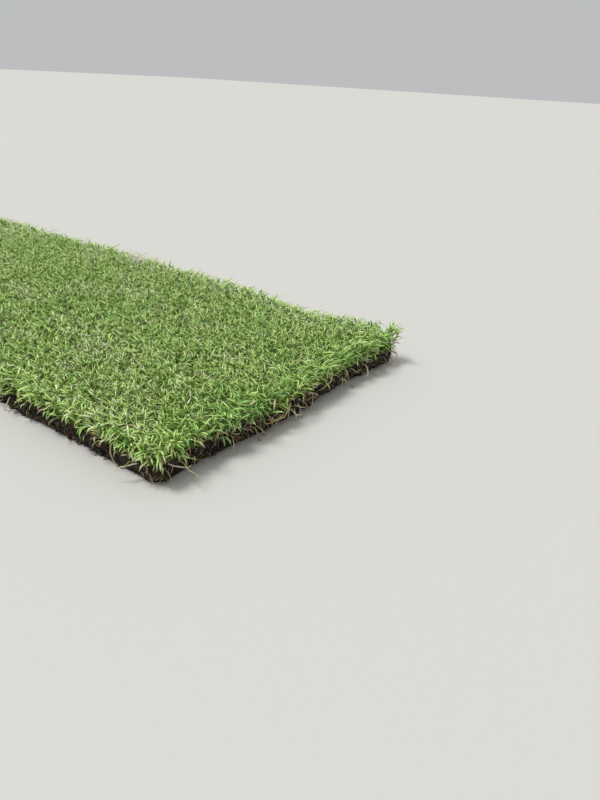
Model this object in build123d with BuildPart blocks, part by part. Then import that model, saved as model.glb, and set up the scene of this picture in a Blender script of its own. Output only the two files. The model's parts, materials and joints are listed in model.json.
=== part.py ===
"""A strip of grass turf, cut from the field and lying unrolled, as it is laid.

A mat of soil and roots with a flat underside carries a mown sward. The sward leans out over the
mat's cut faces, rolls gently along its top and stands a little higher at one corner.
"""
import math
import os

from build123d import *

# The cut strip, in millimetres: length along X, width along Y, thickness along Z
mat_length = 2200.0
mat_width = 455.0
mat_thickness = 26.0
sward_height = 30.0

# The cut edges: how far they waver inwards, their corners, and their worn lower arris
side_waver = 9.0
end_waver = 8.0
corner_radius = 14.0
wear_height = 7.0
wear_depth = 5.0

# The sward's overhang past the cut faces, its shoulders and the roll of its top
overhang = 9.0
overhang_rise = 8.0
shoulder_drop = 13.0
shoulder_depth = 15.0
top_roll = 2.5
roll_pitch = 520.0

# The tuft that stands up at the corner of the +X and +Y sides
tuft_rise = 5.0
tuft_reach = 130.0

# How far each edge draws in between its corners, as shares of its waver, at even steps
front_steps = (0.3, 0.0, 0.2, 0.5, 0.4, 0.1, 0.3, 0.6, 0.4, 0.0, 0.2)
back_steps = (1.0, 0.4, 0.0, 0.5, 0.7, 0.2, 0.4, 0.8, 0.4, 0.0, 0.5)
shown_end_steps = (0.9, 0.3, 0.0, 0.4, 1.0, 0.7)
other_end_steps = (0.2, 0.7, 0.0, 0.5, 1.0, 0.3)
corner_step = 0.25


def section(height, grow):
    """A level section: the hand-cut plan outline, moved out by grow, with rounded corners."""
    half_length = mat_length / 2 + grow
    half_width = mat_width / 2 + grow
    corner_x = half_length - corner_step * end_waver
    corner_y = half_width - corner_step * side_waver

    def along(steps, reach):
        """Even places from one corner to the next, each with its step."""
        return [(reach * (2 * (i + 1) / (len(steps) + 1) - 1), step) for i, step in enumerate(steps)]

    front = [(x, -half_width + step * side_waver) for x, step in along(front_steps, corner_x)]
    right = [(half_length - step * end_waver, y) for y, step in along(shown_end_steps, corner_y)]
    back = [(-x, half_width - step * side_waver) for x, step in along(back_steps, corner_x)]
    left = [(-half_length + step * end_waver, -y) for y, step in along(other_end_steps, corner_y)]
    with BuildSketch(Plane.XY.offset(height)) as outline:
        with BuildLine():
            Spline((-corner_x, -corner_y), *front, (corner_x, -corner_y))
            Spline((corner_x, -corner_y), *right, (corner_x, corner_y))
            Spline((corner_x, corner_y), *back, (-corner_x, corner_y))
            Spline((-corner_x, corner_y), *left, (-corner_x, -corner_y))
        make_face()
        fillet(outline.vertices(), corner_radius)
    return outline.sketch


def top_height(x, y):
    """The height of the sward's top over a place on the strip."""
    roll = math.cos(2 * math.pi * x / roll_pitch) * math.cos(math.pi * y / mat_width)
    away = math.hypot(x - mat_length / 2, y - mat_width / 2)
    tuft = tuft_rise * math.exp(-((away / tuft_reach) ** 2) * 2)
    return mat_thickness + sward_height - top_roll + top_roll * roll + tuft


# The mat of soil and roots, sliced level underneath, its lower arris worn away
with BuildPart() as root_mat:
    arris = [section(0.0, -wear_depth), section(wear_height, 0.0)]
    loft([*arris, section(mat_thickness, 0.0)], ruled=True)
root_mat.part.label = "root_mat"

# The sward, as the solid that the tips of the mown blades fill out
half_x = mat_length / 2 + 2 * overhang
half_y = mat_width / 2 + 2 * overhang
columns = math.ceil(12 * half_x / roll_pitch)
rows = 8
top_points = [
    [(x, y, top_height(x, y)) for y in (half_y * (2 * j / rows - 1) for j in range(rows + 1))]
    for x in (half_x * (2 * i / columns - 1) for i in range(columns + 1))
]
rise_over_shoulder = tuft_rise + shoulder_drop
inset = shoulder_depth * rise_over_shoulder / shoulder_drop
with BuildPart() as grass_sward:
    foot = section(mat_thickness, 0.0)
    skirt = section(mat_thickness + overhang_rise, overhang)
    shoulder = section(mat_thickness + sward_height - shoulder_drop, overhang)
    crown = section(mat_thickness + sward_height + tuft_rise, overhang - inset)
    loft([foot, skirt, shoulder, crown], ruled=True)
    top = Face.make_surface_from_array_of_points(top_points)
    extrude(top, amount=2 * mat_thickness, dir=(0, 0, 1), mode=Mode.SUBTRACT)
grass_sward.part.label = "grass_sward"

os.makedirs("parts", exist_ok=True)
for piece in (root_mat, grass_sward):
    export_step(piece.part, f"parts/{piece.part.label}.step")
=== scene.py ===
"""One strip of freshly cut lawn turf, lying unrolled: soil, roots, runners and mown blades.

Everything is in metres, in the strip's own frame: +X along it to the cut end that faces the camera,
+Y across it, +Z up out of the grass. The blades fill the sward's solid and root in the mat's solid.
"""
import json
import math

import bmesh
import bpy
import numpy as np
from mathutils import Matrix, Vector, geometry, noise
from mathutils.bvhtree import BVHTree

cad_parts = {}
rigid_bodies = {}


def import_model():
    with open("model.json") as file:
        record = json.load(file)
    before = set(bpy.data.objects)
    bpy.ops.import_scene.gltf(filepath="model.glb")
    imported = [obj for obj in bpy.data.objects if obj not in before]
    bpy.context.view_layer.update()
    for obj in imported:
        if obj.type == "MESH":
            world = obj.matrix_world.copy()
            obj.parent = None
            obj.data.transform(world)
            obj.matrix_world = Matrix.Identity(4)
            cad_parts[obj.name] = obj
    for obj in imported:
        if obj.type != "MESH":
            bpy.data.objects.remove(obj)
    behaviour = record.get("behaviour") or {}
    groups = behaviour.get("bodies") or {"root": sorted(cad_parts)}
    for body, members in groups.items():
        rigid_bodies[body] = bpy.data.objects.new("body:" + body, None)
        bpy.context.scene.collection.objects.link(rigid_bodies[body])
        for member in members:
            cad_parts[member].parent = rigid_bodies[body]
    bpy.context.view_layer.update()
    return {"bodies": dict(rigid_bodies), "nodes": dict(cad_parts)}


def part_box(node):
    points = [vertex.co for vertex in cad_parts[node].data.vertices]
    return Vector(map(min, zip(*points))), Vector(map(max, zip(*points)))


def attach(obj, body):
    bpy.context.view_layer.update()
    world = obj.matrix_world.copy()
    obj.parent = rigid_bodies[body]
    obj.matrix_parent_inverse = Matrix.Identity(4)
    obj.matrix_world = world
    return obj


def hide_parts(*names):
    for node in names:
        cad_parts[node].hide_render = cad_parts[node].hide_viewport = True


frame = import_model()
rng = np.random.default_rng(41)
mm = 0.001

# Sizes that the frame gives
mat_low, mat_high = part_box("root_mat")
sward_low, sward_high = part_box("grass_sward")
mat_top = mat_high.z
mown_height = 30 * mm
half_length, half_width = mat_high.x, mat_high.y

# The camera, set where the strip's edges fall as they do in the photograph
image_height = 800
focal_pixels = 661.0
sensor = 36.0
camera_place = Vector((1.515, -0.578, 0.3645))
camera_heading, camera_dip, camera_roll = (math.radians(a) for a in (125.95, 26.0, -3.23))

# The mat's cut face: its rows, as shares of its height, the step along it, and its loose crumbs
face_rows = (0.0, 0.09, 0.2, 0.32, 0.45, 0.58, 0.71, 0.85, 1.0)
face_step = 3.2 * mm
crumb_count = 1700

# Grass: shoots a few millimetres apart, each with its leaves one above the other. A leaf's rings
# are at shares of its length, and most leaves of the field are short and straight
shoot_spacing = 8.0 * mm
edge_spacing = 3.9 * mm
field_leaves = ((0, 1), (0, 1), (0, 0.5, 1), (0, 1), (0, 1), (0, 0.5, 1), (0, 1), (0, 1))
edge_leaves = ((0, 0.35, 0.7, 1),) * 7
field_leaf_length = (8 * mm, 16 * mm)
edge_leaf_length = (12 * mm, 23 * mm)
leaf_half_width = (0.9 * mm, 1.6 * mm)
leaf_section = ((-1, -0.3), (1, -0.3), (0, 0.7))
sward_lengths = 5
farthest = np.array([half_length, half_width]) + 26 * mm

# How a leaf stands, in degrees: its lean from upright, and how far it or a fallen one bends over
leaf_lean = (15, 72)
leaf_bend = (5, 55)
fallen_bend = (70, 125)

# Strands on the cut face: thin root hairs, and thicker runners that loop back in. low and high are
# shares of the mat's height, reach and radius are in millimetres, and tints are places along U
root_section = ((-1, 0), (0, -1), (1, 0), (0, 1))
root_hairs = {
    "count": 1000,
    "on_ends": 0.45,
    "low": 0.25,
    "high": 0.98,
    "reach": (8, 22),
    "rings": 6,
    "radius": (0.22, 0.42),
    "swing": 0.5,
    "sideways": 1.3,
    "back": 0.0,
    "droop": 0.2,
    "tints": (0.05, 0.8),
}
runners = {
    "count": 230,
    "on_ends": 0.5,
    "low": 0.5,
    "high": 1.02,
    "reach": (18, 48),
    "rings": 9,
    "radius": (0.55, 0.95),
    "swing": 0.25,
    "sideways": 2.2,
    "back": 0.2,
    "droop": 0.05,
    "tints": (0.5, 0.88),
}

# A tuft of dry roots that lies on the sward by the far edge
dry_tuft = (0.57, 0.198)

# Where the sward is thin and low, by the edge that draws in
dip_place = (0.95, 0.2275)
dip_depth, dip_reach = 9 * mm, 0.085


def linear(hex_colour):
    """An sRGB hex colour as the linear RGBA that a shader takes."""
    parts = [int(hex_colour[i : i + 2], 16) / 255 for i in (1, 3, 5)]
    return (*[c / 12.92 if c <= 0.04045 else ((c + 0.055) / 1.055) ** 2.4 for c in parts], 1.0)


def add_node(tree, kind, inputs=None, **settings):
    """A node with its settings, and its inputs filled with values or joined to other outputs."""
    node = tree.nodes.new(kind)
    for key, value in settings.items():
        setattr(node, key, value)
    for key, value in (inputs or {}).items():
        if isinstance(value, bpy.types.NodeSocket):
            tree.links.new(value, node.inputs[key])
        else:
            node.inputs[key].default_value = value
    return node


def ramp(tree, factor, stops):
    """A colour ramp over a factor, from (place, hex) stops."""
    node = add_node(tree, "ShaderNodeValToRGB", {"Fac": factor})
    while len(node.color_ramp.elements) < len(stops):
        node.color_ramp.elements.new(0.5)
    for element, (place, colour) in zip(node.color_ramp.elements, stops):
        element.position, element.color = place, linear(colour)
    return node.outputs["Color"]


def finish_material(name, colour, roughness, specular=0.4, normal=None):
    """Fills a new material's tree: colour(tree) gives its colour socket, normal(tree) its bumps."""
    material = bpy.data.materials.new(name)
    material.use_nodes = True
    tree = material.node_tree
    shader = tree.nodes["Principled BSDF"]
    shader.inputs["Roughness"].default_value = roughness
    shader.inputs["Specular IOR Level"].default_value = specular
    tree.links.new(colour(tree), shader.inputs["Base Color"])
    if normal:
        tree.links.new(normal(tree), shader.inputs["Normal"])
    return material


def leaf_card(tree):
    """Leaf colour: tint along U from cool green to straw, and along V darker and browner toward the leaf's
    base, partly a browner sheath and partly painted shade deep in the sward.
    """
    place = add_node(tree, "ShaderNodeUVMap", uv_map="OFBake").outputs["UV"]
    card = add_node(tree, "ShaderNodeSeparateXYZ", {"Vector": place})
    tint = ramp(
        tree,
        card.outputs["X"],
        (
            (0.0, "#98CC7E"),
            (0.22, "#B2E07C"),
            (0.45, "#CDF08E"),
            (0.66, "#E0F8A8"),
            (0.82, "#F4FDDC"),
            (0.9, "#EEE6B8"),
            (1.0, "#BFA87C"),
        ),
    )
    # Darker toward each leaf's base: partly the browner sheath, partly painted shade where the leaf sits
    # deep among the others; white at the tip
    browner_base_and_painted_shade = ramp(
        tree,
        card.outputs["Y"],
        ((0.0, "#A9AA78"), (0.2, "#D2DAB4"), (0.45, "#FAFCF4"), (1.0, "#FFFFFF")),
    )
    mix = add_node(tree, "ShaderNodeMix", data_type="RGBA", blend_type="MULTIPLY")
    mix.inputs["Factor"].default_value = 1.0
    tree.links.new(tint, mix.inputs[6])
    tree.links.new(browner_base_and_painted_shade, mix.inputs[7])
    return mix.outputs[2]


def root_card(tree):
    """Root colour along U: from earth-stained root hairs to bleached straw runners."""
    place = add_node(tree, "ShaderNodeUVMap", uv_map="OFBake").outputs["UV"]
    card = add_node(tree, "ShaderNodeSeparateXYZ", {"Vector": place})
    stops = ((0.0, "#5E4A35"), (0.35, "#94805C"), (0.75, "#C8BB8F"), (1.0, "#F0EDE0"))
    return ramp(tree, card.outputs["X"], stops)


def soil_colour(tree):
    """Damp sandy loam: near-black clods, grey-brown where it dries, pale grains, thatch on top."""
    place = add_node(tree, "ShaderNodeTexCoord").outputs["Object"]
    clods = add_node(tree, "ShaderNodeTexNoise", {"Vector": place, "Scale": 1 / (9 * mm), "Detail": 6.0})
    stops = ((0.3, "#171310"), (0.48, "#2B251F"), (0.62, "#463E35"), (0.75, "#6B6258"))
    base = ramp(tree, clods.outputs["Fac"], stops)
    grains = add_node(tree, "ShaderNodeTexVoronoi", {"Vector": place, "Scale": 1 / (1.6 * mm)})
    sand = ramp(tree, grains.outputs["Distance"], ((0.0, "#FFFFFF"), (0.12, "#FFFFFF"), (0.2, "#000000")))
    mix = add_node(tree, "ShaderNodeMix", data_type="RGBA")
    tree.links.new(sand, mix.inputs["Factor"])
    tree.links.new(base, mix.inputs[6])
    mix.inputs[7].default_value = linear("#857B6E")
    height = add_node(tree, "ShaderNodeSeparateXYZ", {"Vector": place}).outputs["Z"]
    above = add_node(tree, "ShaderNodeMapRange", {"Value": height})
    above.inputs["From Min"].default_value = mat_top - 3.2 * mm
    above.inputs["From Max"].default_value = mat_top - 0.8 * mm
    stems = add_node(tree, "ShaderNodeTexNoise", {"Vector": place, "Scale": 1 / (4 * mm), "Detail": 3.0})
    thatch = ramp(tree, stems.outputs["Fac"], ((0.35, "#3A451C"), (0.5, "#66782F"), (0.65, "#94955A")))
    topped = add_node(tree, "ShaderNodeMix", {"Factor": above.outputs["Result"]}, data_type="RGBA")
    tree.links.new(mix.outputs[2], topped.inputs[6])
    tree.links.new(thatch, topped.inputs[7])
    return topped.outputs[2]


def soil_bumps(tree):
    """Crumbs and grit too small for the mesh."""
    place = add_node(tree, "ShaderNodeTexCoord").outputs["Object"]
    grit = add_node(tree, "ShaderNodeTexNoise", {"Vector": place, "Scale": 1 / (2.2 * mm), "Detail": 4.0})
    bump = add_node(tree, "ShaderNodeBump", {"Height": grit.outputs["Fac"], "Strength": 0.9})
    bump.inputs["Distance"].default_value = 1.2 * mm
    return bump.outputs["Normal"]


def surface_of(node):
    """A ray-casting tree over a CAD node's mesh."""
    mesh = frame["nodes"][node].data
    return BVHTree.FromPolygons([v.co for v in mesh.vertices], [p.vertices for p in mesh.polygons])


mat_surface = surface_of("root_mat")
sward_surface = surface_of("grass_sward")


def sward_top(x, y):
    """The sward's height over a place, or the mown height past its outline."""
    hit = sward_surface.ray_cast(Vector((x, y, 1.0)), Vector((0, 0, -1)))[0]
    away = math.hypot(x - dip_place[0], y - dip_place[1])
    dip = dip_depth * math.exp(-((away / dip_reach) ** 2))
    return (hit.z if hit and hit.z > mat_top + 5 * mm else mat_top + mown_height * 0.6) - dip


def mesh_piece(name, points, triangles, uv, material, replaced, slot):
    """A piece made of triangles, with one UV place for each vertex."""
    mesh = bpy.data.meshes.new(name)
    mesh.vertices.add(len(points))
    mesh.vertices.foreach_set("co", points.astype(np.float32).ravel())
    mesh.loops.add(triangles.size)
    mesh.loops.foreach_set("vertex_index", triangles.astype(np.int32).ravel())
    mesh.polygons.add(len(triangles))
    mesh.polygons.foreach_set("loop_start", np.arange(0, triangles.size, 3, dtype=np.int32))
    mesh.update(calc_edges=True)
    mesh.validate()
    layer = mesh.uv_layers.new(name="OFBake")
    layer.uv.foreach_set("vector", uv[triangles.ravel()].astype(np.float32).ravel())
    piece = bpy.data.objects.new(name, mesh)
    return settle(piece, material, replaced)


def settle(piece, material, replaced):
    """Puts a piece in the scene, on the strip's one body, in place of a CAD solid."""
    bpy.context.scene.collection.objects.link(piece)
    piece.data.materials.clear()
    piece.data.materials.append(material)
    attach(piece, body)
    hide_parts(replaced)
    return piece


def strands(spine, across, width, depth, section, tint):
    """Closed tapering strands, all with as many rings: points, triangles and UV places.

    spine is (strand, ring, xyz) and its last ring is the tip. across is the direction of a strand's
    width, width and depth are half sizes at each ring, and section goes round anticlockwise.
    """
    count, rings = spine.shape[:2]
    sides = len(section)
    along = np.gradient(spine, axis=1)
    along /= np.linalg.norm(along, axis=2, keepdims=True)
    across = across - (across * along).sum(2, keepdims=True) * along
    across /= np.linalg.norm(across, axis=2, keepdims=True)
    face = np.cross(along, across)
    places = np.array(section)
    ring = (
        spine[:, :-1, None]
        + across[:, :-1, None] * (width[:, :-1, None] * places[:, 0])[..., None]
        + face[:, :-1, None] * (depth[:, :-1, None] * places[:, 1])[..., None]
    )
    body_points = (rings - 1) * sides
    points = np.concatenate([ring.reshape(count, body_points, 3), spine[:, -1:]], axis=1)
    share = np.linspace(0.02, 0.98, rings)
    u = np.repeat(np.tile(places[:, 0], rings - 1)[None], count, 0) * 0.004 + tint[:, None]
    u = np.concatenate([u, tint[:, None]], axis=1).clip(0.005, 0.995)
    v = np.repeat(np.append(np.repeat(share[:-1], sides), share[-1])[None], count, 0)
    shape = []
    for r in range(rings - 2):
        for k in range(sides):
            a, b = r * sides + k, r * sides + (k + 1) % sides
            shape += [(a, b, b + sides), (a, b + sides, a + sides)]
    top = (rings - 2) * sides
    shape += [(top + k, top + (k + 1) % sides, body_points) for k in range(sides)]
    shape += [(0, k + 1, k) for k in range(1, sides - 1)]
    triangles = np.array(shape)[None] + (np.arange(count) * (body_points + 1))[:, None, None]
    return points.reshape(-1, 3), triangles.reshape(-1, 3), np.stack([u, v], -1).reshape(-1, 2)


def joined(parts):
    """Several lots of strands as one."""
    points, triangles, uv, first = [], [], [], 0
    for p, t, w in parts:
        points.append(p)
        triangles.append(t + first)
        uv.append(w)
        first += len(p)
    return np.concatenate(points), np.concatenate(triangles), np.concatenate(uv)


body = list(frame["bodies"])[0]
leaf_material = finish_material("Lawn leaf, waxy on top and matt with dew", leaf_card, 0.5, 0.3)
root_material = finish_material("Grass root and runner, dry husk", root_card, 0.75, 0.25)
soil_material = finish_material("Sandy loam, damp and cut", soil_colour, 0.95, 0.15, soil_bumps)


# The cut edge all round the mat, read off the solid
def edge_places(step):
    """Places round the mat at even steps: a point on the box round it and the point on its middle line that
    lies inward, in pairs.
    """
    reach_x, reach_y = half_length, half_width
    spine_end = reach_x - reach_y
    corners = [(-reach_x, -reach_y), (reach_x, -reach_y), (reach_x, reach_y), (-reach_x, reach_y)]
    nominal = []
    for (x0, y0), (x1, y1) in zip(corners, corners[1:] + corners[:1]):
        steps = round(math.hypot(x1 - x0, y1 - y0) / step)
        nominal += [(x0 + (x1 - x0) * i / steps, y0 + (y1 - y0) * i / steps) for i in range(steps)]
    return [(Vector((x, y, 0)), Vector((max(-spine_end, min(spine_end, x)), 0, 0))) for x, y in nominal]


def wall_point(place, inner, height):
    """Where the cut face stands at a height, on the way in from a place outside."""
    inward = (inner - place).normalized()
    start = place - inward * 0.05 + Vector((0, 0, height))
    hit = mat_surface.ray_cast(start, inward)
    return hit[0] if hit[0] else place + Vector((0, 0, height))


def crumble(point, seed):
    """How far the cut soil stands in or out at a point: clods, crumbs and grit, in metres."""
    offset = Vector((seed, seed, seed))
    clods = noise.noise(point / (22 * mm) + offset)
    crumbs = abs(noise.noise(point / (7 * mm) + offset))
    grit = noise.noise(point / (3 * mm) + offset)
    return (3.2 * clods - 5.0 * crumbs + 1.6 * grit) * mm


def make_mat():
    """The mat: a crumbling cut face all round, a sliced underside and a rough top, closed."""
    rim = edge_places(face_step)
    heights = [mat_top * h for h in face_rows]
    shape = bmesh.new()
    rows = []
    for height in heights:
        row = []
        for place, inner in rim:
            level = min(max(height, 0.2 * mm), mat_top - 0.2 * mm)
            point = wall_point(place, inner, level)
            point.z = height
            out = (place - inner).normalized()
            worn = 0.35 if height in (heights[0], heights[-1]) else 1.0
            point += out * crumble(point, 3.7) * worn
            if 0 < height < mat_top:
                point.z += noise.noise(point / (5 * mm)) * 0.8 * mm
            row.append(shape.verts.new(point))
        rows.append(row)
    count = len(rim)
    for low, high in zip(rows, rows[1:]):
        for i in range(count):
            j = (i + 1) % count
            shape.faces.new((low[i], low[j], high[j], high[i]))
    for row, roughness, upward in ((rows[0], 0.6 * mm, False), (rows[-1], 2.0 * mm, True)):
        fill_level(shape, row, roughness, upward)
    bmesh.ops.recalc_face_normals(shape, faces=shape.faces)
    return shape


def fill_level(shape, row, roughness, upward):
    """Closes the mat over a rim with a rough level skin of even triangles."""
    pitch = 13 * mm
    level = row[0].co.z
    rim = [v.co.xy for v in row]
    inner = []
    for x in np.arange(-half_length + pitch, half_length - pitch / 2, pitch):
        for y in np.arange(-half_width + pitch, half_width - pitch / 2, pitch):
            inner.append(Vector((x, y)) + Vector(rng.uniform(-0.3, 0.3, 2) * pitch))
    found = geometry.delaunay_2d_cdt(rim + inner, [], [list(range(len(rim)))], 1, 1e-7)
    corners = []
    for co, origin in zip(found[0], found[3]):
        if origin and origin[0] < len(row):
            corners.append(row[origin[0]])
            continue
        point = Vector((co.x, co.y, level))
        lift = abs(noise.noise(point / (14 * mm))) * roughness
        corners.append(shape.verts.new(point + Vector((0, 0, lift if not upward else -lift))))
    for face in found[2]:
        if len(set(face)) == 3:
            shape.faces.new([corners[i] for i in face])


def add_crumbs(shape, count):
    """Loose crumbs of soil that cling to the cut faces, most of them low down."""
    rim = edge_places(1.5 * mm)
    for _ in range(count):
        place, inner = rim[rng.integers(len(rim))]
        height = mat_top * (0.08 + 0.8 * rng.random() ** 1.3)
        size = (1.0 + 2.8 * rng.random() ** 2.5) * mm
        centre = wall_point(place, inner, height)
        centre += (place - inner).normalized() * (crumble(centre, 3.7) + size * 0.35)
        centre.z = max(centre.z, size * 1.3)
        turn = Matrix.Rotation(rng.uniform(0, math.tau), 4, Vector(rng.normal(size=3)).normalized())
        stretch = Matrix.Diagonal((*rng.uniform(0.7, 1.25, 3), 1))
        matrix = Matrix.Translation(centre) @ turn @ stretch
        bmesh.ops.create_icosphere(shape, subdivisions=1, radius=size, matrix=matrix)


mat_shape = make_mat()
add_crumbs(mat_shape, crumb_count)
mat_mesh = bpy.data.meshes.new("soil_mat")
mat_shape.to_mesh(mat_mesh)
mat_shape.free()
settle(bpy.data.objects.new("soil_mat", mat_mesh), soil_material, "root_mat")


# Shoots: where they root, how high the sward stands there, and how near the edge they are
def field_shoots():
    """Shoots all over the mat on a shaken grid."""
    xs = np.arange(-half_length, half_length, shoot_spacing)
    ys = np.arange(-half_width, half_width, shoot_spacing)
    grid = np.stack(np.meshgrid(xs, ys, indexing="ij"), -1).reshape(-1, 2)
    grid += rng.uniform(-0.55, 0.55, grid.shape) * shoot_spacing
    up = Vector((0, 0, 1))
    return np.array([p for p in grid if mat_surface.ray_cast(Vector((*p, -0.1)), up)[0]])


def edge_shoots():
    """Shoots along the cut edge, with the way out of the strip at each."""
    places, ways = [], []
    for place, inner in edge_places(edge_spacing):
        out = (place - inner).normalized()
        point = wall_point(place, inner, mat_top * 0.9) - out * rng.uniform(0.5, 13) * mm
        places.append(point.xy)
        ways.append(out.xy)
    return np.array(places), np.array(ways)


def leaf_spines(base, heading, lean, bend, length, shares):
    """Arching spines: (leaf, ring, xyz) points, starting at base and leaning over as they go."""
    spine = [base]
    for s0, s1 in zip(shares, shares[1:]):
        angle = lean + bend * (s0 + s1) / 2
        level = np.sin(angle)
        way = np.stack([level * np.cos(heading), level * np.sin(heading), np.cos(angle)], -1)
        spine.append(spine[-1] + way * (length * (s1 - s0))[:, None])
    return np.stack(spine, 1)


def patchiness(points, size, seed):
    """A slow drift from -1 to 1 over the strip."""
    return np.array([noise.noise(Vector((x, y, seed)) / size) for x, y in points])


def grow_leaves(here, rank, shares):
    """One leaf for each of some shoots. rank is 0 for the lowest leaf and 1 for the highest."""
    count = len(here)
    base, tops, edge = roots[here], all_tops[here], is_edge[here]
    out_x, out_y = outward[here].T
    heading = rng.uniform(0, math.tau, count)
    leans_out = edge & (rng.random(count) < 0.85 - 0.4 * rank)
    heading = np.where(leans_out, np.arctan2(out_y, out_x) + rng.normal(0, 0.8, count), heading)
    start = (0.1 + 0.66 * rank + rng.uniform(-0.1, 0.1, count)).clip(0, 1) * (tops - mat_top)
    start -= edge * (1 - rank) ** 2 * rng.uniform(0, 9 * mm, count)
    base = np.column_stack([base + all_leans[here] * start[:, None], mat_top - 1 * mm + start])
    lean = np.radians(rng.uniform(*leaf_lean, count))
    bend = np.radians(rng.uniform(*leaf_bend, count))
    shortest = np.where(edge, edge_leaf_length[0], field_leaf_length[0])
    longest = np.where(edge, edge_leaf_length[1], field_leaf_length[1])
    length = rng.uniform(shortest, longest)
    falls = edge & (rng.random(count) < 0.75 - 0.5 * rank)
    bend = np.where(falls, np.radians(rng.uniform(*fallen_bend, count)), bend)
    spine = leaf_spines(base, heading, lean, bend, length, shares)
    room = np.maximum(tops + rng.normal(0, 2.2 * mm, count) - base[:, 2], 4 * mm)
    over = (spine[..., 2].max(1) - base[:, 2]) / room
    length = length / np.maximum(over, 1.0)
    spine = leaf_spines(base, heading, lean, bend, length, shares)
    spine = spine.clip((*-farthest, 2 * mm), (*farthest, 1))
    width = rng.uniform(*leaf_half_width, count)
    width = width[:, None] * np.interp(shares, (0, 0.3, 0.75, 1), (0.85, 1.0, 0.7, 0.0))
    twist = rng.normal(0, 0.5, (count, 1)) + rng.normal(0, 0.4, (count, 1)) * np.array(shares)
    flat = np.stack([-np.sin(heading), np.cos(heading), np.zeros(count)], -1)[:, None]
    across = flat * np.cos(twist)[..., None] + np.array([0.0, 0.0, 1.0]) * np.sin(twist)[..., None]
    tint = all_tints[here] + rng.normal(0, 0.13, count) + 0.16 * (rank - 0.5)
    dead = rng.random(count) < np.where(edge, 0.4, 0.12) * (1 - rank) ** 2 + 0.025
    tint = np.where(dead, rng.uniform(0.88, 0.99, count), tint.clip(0.01, 0.84))
    return strands(spine, across, width, width * 0.5, leaf_section, tint)


field = field_shoots()
edge_roots, edge_ways = edge_shoots()
roots = np.concatenate([field, edge_roots])

# Tufts and hollows, the standing corner, and how the tint drifts over the strip and at its edges, with a
# painted backlight that turns the tint paler along the far side
tufts = patchiness(roots, 13 * mm, 2.0)
all_tops = np.array([sward_top(x, y) for x, y in roots]) + tufts * 4 * mm - 1 * mm
outward = np.concatenate([np.zeros_like(field), edge_ways])
is_edge = np.arange(len(roots)) >= len(field)
from_corner = np.hypot(half_length - roots[:, 0], half_width - roots[:, 1])
all_tops += 4 * mm * np.exp(-from_corner / (50 * mm))
drift = patchiness(roots, 60 * mm, 1.0) * 0.16 + patchiness(roots, 260 * mm, 5.0) * 0.12
by_end = np.exp(-(half_length - roots[:, 0]).clip(0) / (28 * mm))
# Painted backlight: leaves along the far side get a paler tint, as if lit from behind
far_side_painted_backlight = np.exp(-(half_width - roots[:, 1]).clip(0) / (14 * mm))
all_tints = 0.44 + 0.2 * tufts + drift - 0.22 * by_end + 0.1 * far_side_painted_backlight + rng.normal(0, 0.12, len(roots))
all_leans = rng.normal(0, 0.3, (len(roots), 2))
along = (roots[:, 0] + half_length) / (2 * half_length)
part_of = np.clip((along * sward_lengths).astype(int), 0, sward_lengths - 1)
for number in range(sward_lengths):
    leaves = []
    for edge_group, kinds in ((False, field_leaves), (True, edge_leaves)):
        here = np.flatnonzero((part_of == number) & (is_edge == edge_group))
        for leaf, shares in enumerate(kinds):
            leaves.append(grow_leaves(here, leaf / (len(kinds) - 1), shares))
    mesh_piece(f"sward_{number + 1}", *joined(leaves), leaf_material, "grass_sward", "grass")


# Roots and runners, which the cut leaves hanging out of the mat
def wandering(starts, ways, pull, step, rings, swing):
    """Paths that wander on from their starts, with a pull at each ring: (strand, ring, xyz)."""
    path, way = [starts], ways
    for _ in range(rings - 1):
        way = way + rng.normal(0, swing, way.shape) + pull
        way /= np.linalg.norm(way, axis=1, keepdims=True)
        point = path[-1] + way * step[:, None]
        path.append(point.clip((*-farthest, 1.2 * mm), (*farthest, mat_top + 36 * mm)))
    return np.stack(path, 1)


def rim_starts(count, on_ends, low, high, sunk):
    """Places on the cut face, many of them on its ends: points sunk in it and the ways out."""
    rim = edge_places(2 * mm)
    ends = [p for p in rim if abs(p[0].x) > half_length - 1 * mm]
    sides = [p for p in rim if abs(p[0].x) <= half_length - 1 * mm]
    points, ways = [], []
    for _ in range(count):
        group = ends if rng.random() < on_ends else sides
        place, inner = group[rng.integers(len(group))]
        out = (place - inner).normalized()
        points.append(wall_point(place, inner, rng.uniform(low, high) * mat_top) - out * sunk)
        ways.append(out)
    return np.array(points), np.array(ways)


def round_strands(path, width, tint):
    """Strands as thick as they are wide."""
    across = np.broadcast_to(np.array([0.3, 0.5, 0.8]), path.shape)
    return strands(path, across, width, width, root_section, tint)


def face_strands(count, on_ends, low, high, reach, rings, radius, swing, sideways, back, droop, tints):
    """Roots or runners that leave the cut face. back pulls them in again and droop pulls them down."""
    starts, out = rim_starts(count, on_ends, low, high, 2 * mm)
    ways = out + np.cross(out, (0, 0, 1)) * rng.normal(0, sideways, (count, 1))
    ways = ways + rng.normal(0, 0.3, ways.shape)
    ways /= np.linalg.norm(ways, axis=1, keepdims=True)
    step = rng.uniform(*reach, count) * mm / (rings - 1)
    path = wandering(starts, ways, -out * back - np.array([0, 0, droop]), step, rings, swing)
    taper = np.interp(np.linspace(0, 1, rings), (0, 0.7, 1), (1, 0.85, 0))
    width = rng.uniform(*radius, count)[:, None] * mm * taper
    return round_strands(path, width, rng.uniform(*tints, count))


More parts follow.
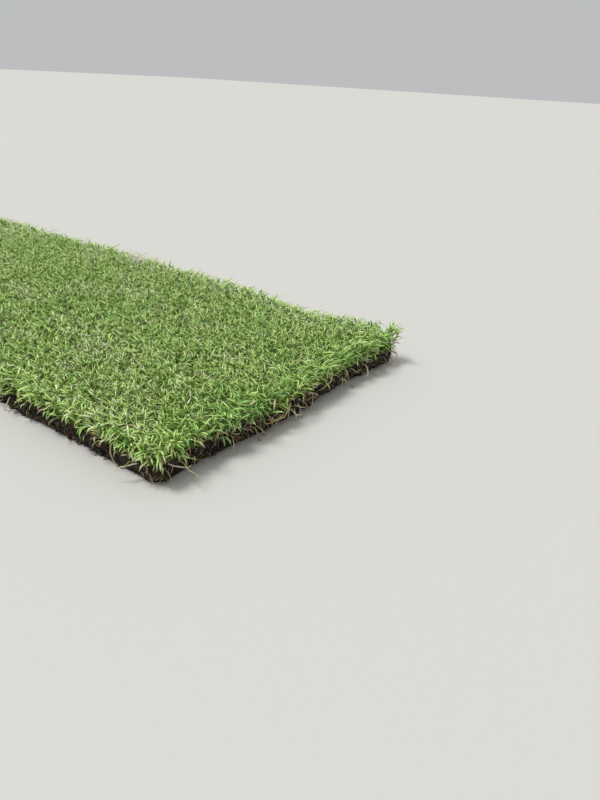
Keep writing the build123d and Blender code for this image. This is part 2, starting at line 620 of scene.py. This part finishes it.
def make_dry_tuft():
    """A small tuft of bleached dry roots that lies on the sward."""
    count, rings = 34, 6
    starts = np.append(dry_tuft, sward_top(*dry_tuft) - 3 * mm) + rng.normal(0, 3.5 * mm, (count, 3))
    ways = rng.normal(0, 1, (count, 3)) * (1, 1, 0.5) + (0.3, 0.2, 0.4)
    step = rng.uniform(9, 19, count) * mm / (rings - 1)
    path = wandering(starts, ways, np.array([0, 0, -0.1]), step, rings, 0.35)
    width = np.full((count, rings), 0.9 * mm) * np.linspace(1, 0.3, rings)
    return round_strands(path, width, rng.uniform(0.93, 1.0, count))


cut_roots = joined([face_strands(**root_hairs), face_strands(**runners)])
mesh_piece("roots_and_runners", *cut_roots, root_material, "root_mat", "soil")
mesh_piece("dry_tuft", *make_dry_tuft(), root_material, "grass_sward", "grass")


# Floor, light and camera
def make_floor():
    """A plain pale floor that runs back to the horizon."""
    shape = bmesh.new()
    bmesh.ops.create_grid(shape, x_segments=1, y_segments=1, size=30)
    mesh = bpy.data.meshes.new("floor")
    shape.to_mesh(mesh)
    shape.free()
    floor = bpy.data.objects.new("floor", mesh)
    bpy.context.scene.collection.objects.link(floor)
    paint = bpy.data.materials.new("Matt pale studio floor")
    paint.use_nodes = True
    shader = paint.node_tree.nodes["Principled BSDF"]
    shader.inputs["Base Color"].default_value = linear("#CFCDC8")
    shader.inputs["Roughness"].default_value = 0.9
    floor.data.materials.append(paint)


def make_light():
    """A pale even sky and one broad soft lamp, high over the strip's hidden end."""
    world = bpy.data.worlds.new("pale sky")
    bpy.context.scene.world = world
    world.use_nodes = True
    sky = world.node_tree.nodes["Background"]
    sky.inputs["Color"].default_value = linear("#E9EBEC")
    sky.inputs["Strength"].default_value = 0.62
    lamp = bpy.data.lights.new("soft lamp", "SUN")
    lamp.energy = 2.2
    lamp.angle = math.radians(18)
    holder = bpy.data.objects.new("soft lamp", lamp)
    holder.rotation_euler = Vector((-0.3, -0.35, 1.0)).to_track_quat("Z", "Y").to_euler()
    bpy.context.scene.collection.objects.link(holder)


def make_camera():
    """The camera, from its place, heading, dip and roll."""
    heading, dip, roll = camera_heading, camera_dip, camera_roll
    ahead = Vector((math.cos(heading) * math.cos(dip), math.sin(heading) * math.cos(dip), -math.sin(dip)))
    right = Vector((math.sin(heading), -math.cos(heading), 0))
    down = ahead.cross(right)
    image_right = right * math.cos(roll) + down * math.sin(roll)
    image_up = right * math.sin(roll) - down * math.cos(roll)
    camera = bpy.data.cameras.new("camera")
    camera.lens = focal_pixels * sensor / image_height
    camera.sensor_width = sensor
    camera.clip_start = 0.01
    holder = bpy.data.objects.new("camera", camera)
    turn = Matrix((image_right, image_up, -ahead)).transposed()
    holder.matrix_world = Matrix.Translation(camera_place) @ turn.to_4x4()
    bpy.context.scene.collection.objects.link(holder)
    bpy.context.scene.camera = holder


make_floor()
make_light()
make_camera()
bpy.context.scene.view_settings.view_transform = "Standard"
